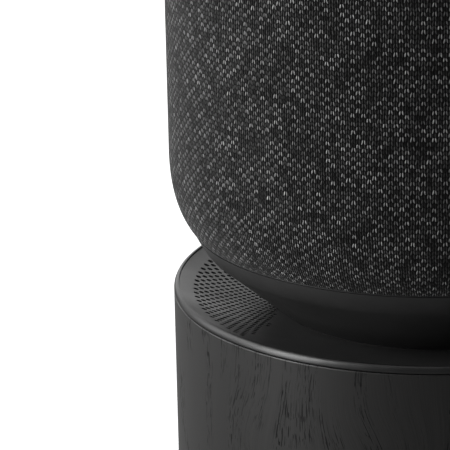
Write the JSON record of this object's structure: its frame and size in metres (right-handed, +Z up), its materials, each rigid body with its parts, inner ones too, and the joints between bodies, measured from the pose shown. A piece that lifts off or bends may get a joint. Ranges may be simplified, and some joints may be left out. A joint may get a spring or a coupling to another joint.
{
  "type": "smart speaker hub",
  "caption": "Tabletop voice and audio hub: a fabric-covered drum floating over a dished perforated deck on a black-stained wooden base.",
  "frame": {"origin": "on the table under the middle of the base", "axes": "+Z up along the axis of both drums, -Y is the front (tweeter side), cable slot at +Y"},
  "size_m": [0.1996, 0.1996, 0.38],
  "materials": {
    "foot_rubber": "matt moulded rubber",
    "base_moulding": "fine spark-eroded texture",
    "stained_wood": "black-stained open-pore oak veneer, satin oil",
    "screw_steel": "blackened",
    "satin_black_metal": "black anodised, fine bead blast, satin",
    "deck_moulding": "satin, very fine texture",
    "acoustic_cloth": "open acoustic mesh",
    "pod_fabric": "black knit with grey melange flecks",
    "basket_steel": "black powder coat",
    "magnet_iron": "phosphated ferrite",
    "cone_alloy": "dark anodised",
    "cone_pulp": "coated pulp",
    "surround_rubber": "butyl",
    "spider_cloth": "resin-stiffened cotton",
    "face_plate_plastic": "satin",
    "dome_silk": "doped silk",
    "touch_polymer": "hard-coated black polymer",
    "light_diffuser": "opal",
    "circuit_board": "solder mask",
    "sink_aluminium": "black-edged extrusion",
    "socket_plastic": "moulded",
    "button_plastic": "satin"
  },
  "bodies": {
    "housing": {"foot_ring": "foot_rubber", "base_plate": "base_moulding", "base_tub": "base_moulding", "neck_duct": "base_moulding", "lower_baffle": "base_moulding", "upper_baffle": "base_moulding", "driver_frame": "base_moulding", "pod_core": "base_moulding", "wood_shell": "stained_wood", "base_screws": "screw_steel", "driver_screws": "screw_steel", "trim_ring": "satin_black_metal", "top_trim_ring": "satin_black_metal", "deck_dish": "deck_moulding", "underside_cone": "deck_moulding", "fabric_lip_ring": "deck_moulding", "port_cloth": "acoustic_cloth", "fabric_sleeve": "pod_fabric", "lower_woofer_basket": "basket_steel", "lower_woofer_magnet": "magnet_iron", "lower_woofer_surround": "surround_rubber", "upper_woofer_basket": "basket_steel", "upper_woofer_magnet": "magnet_iron", "upper_woofer_surround": "surround_rubber", "left_driver_basket": "basket_steel", "left_driver_magnet": "magnet_iron", "left_driver_surround": "surround_rubber", "right_driver_basket": "basket_steel", "right_driver_magnet": "magnet_iron", "right_driver_surround": "surround_rubber", "rear_left_driver_basket": "basket_steel", "rear_left_driver_magnet": "magnet_iron", "rear_left_driver_surround": "surround_rubber", "rear_right_driver_basket": "basket_steel", "rear_right_driver_magnet": "magnet_iron", "rear_right_driver_surround": "surround_rubber", "lower_woofer_spider": "spider_cloth", "upper_woofer_spider": "spider_cloth", "tweeter_plate": "face_plate_plastic", "tweeter_motor": "magnet_iron", "touch_disc": "touch_polymer", "light_guide": "light_diffuser", "touch_board": "circuit_board", "amp_board": "circuit_board", "power_supply_board": "circuit_board", "main_board": "circuit_board", "heatsink": "sink_aluminium", "connector_panel": "socket_plastic", "mains_inlet": "socket_plastic", "ethernet_jack": "socket_plastic", "line_in_jack": "socket_plastic"},
    "lower_woofer_diaphragm": {"lower_woofer_cone": "cone_pulp"},
    "upper_woofer_diaphragm": {"upper_woofer_cone": "cone_pulp"},
    "left_driver_diaphragm": {"left_driver_cone": "cone_alloy"},
    "right_driver_diaphragm": {"right_driver_cone": "cone_alloy"},
    "rear_left_driver_diaphragm": {"rear_left_driver_cone": "cone_alloy"},
    "rear_right_driver_diaphragm": {"rear_right_driver_cone": "cone_alloy"},
    "tweeter_diaphragm": {"tweeter_dome": "dome_silk"},
    "pairing_key": {"pairing_button": "button_plastic"},
    "reset_key": {"reset_button": "button_plastic"}
  },
  "joints": [
    {"name": "lower_woofer_stroke", "type": "slide", "parent": "housing", "child": "lower_woofer_diaphragm", "axis": [0, 0, 1], "range_m": [-0.006, 0.006], "stiffness_N_per_m": 1500, "deforming": ["lower_woofer_surround", "lower_woofer_spider"]},
    {"name": "upper_woofer_stroke", "type": "slide", "parent": "housing", "child": "upper_woofer_diaphragm", "axis": [0, 0, -1], "range_m": [-0.006, 0.006], "stiffness_N_per_m": 1500, "deforming": ["upper_woofer_surround", "upper_woofer_spider"]},
    {"name": "left_driver_stroke", "type": "slide", "parent": "housing", "child": "left_driver_diaphragm", "axis": [-1, 0, 0], "range_m": [-0.003, 0.003], "stiffness_N_per_m": 2000, "deforming": ["left_driver_surround"]},
    {"name": "right_driver_stroke", "type": "slide", "parent": "housing", "child": "right_driver_diaphragm", "axis": [1, 0, 0], "range_m": [-0.003, 0.003], "stiffness_N_per_m": 2000, "deforming": ["right_driver_surround"]},
    {"name": "rear_left_driver_stroke", "type": "slide", "parent": "housing", "child": "rear_left_driver_diaphragm", "axis": [-0.766, 0.6428, 0], "range_m": [-0.002, 0.002], "stiffness_N_per_m": 2500, "deforming": ["rear_left_driver_surround"]},
    {"name": "rear_right_driver_stroke", "type": "slide", "parent": "housing", "child": "rear_right_driver_diaphragm", "axis": [0.766, 0.6428, 0], "range_m": [-0.002, 0.002], "stiffness_N_per_m": 2500, "deforming": ["rear_right_driver_surround"]},
    {"name": "tweeter_stroke", "type": "slide", "parent": "housing", "child": "tweeter_diaphragm", "axis": [0, -1, 0], "range_m": [-0.0004, 0.0004], "stiffness_N_per_m": 8000},
    {"name": "pairing_press", "type": "slide", "parent": "housing", "child": "pairing_key", "axis": [0, 0, 1], "range_m": [0, 0.001], "stiffness_N_per_m": 600},
    {"name": "reset_press", "type": "slide", "parent": "housing", "child": "reset_key", "axis": [0, 0, 1], "range_m": [0, 0.0008], "stiffness_N_per_m": 600}
  ]
}
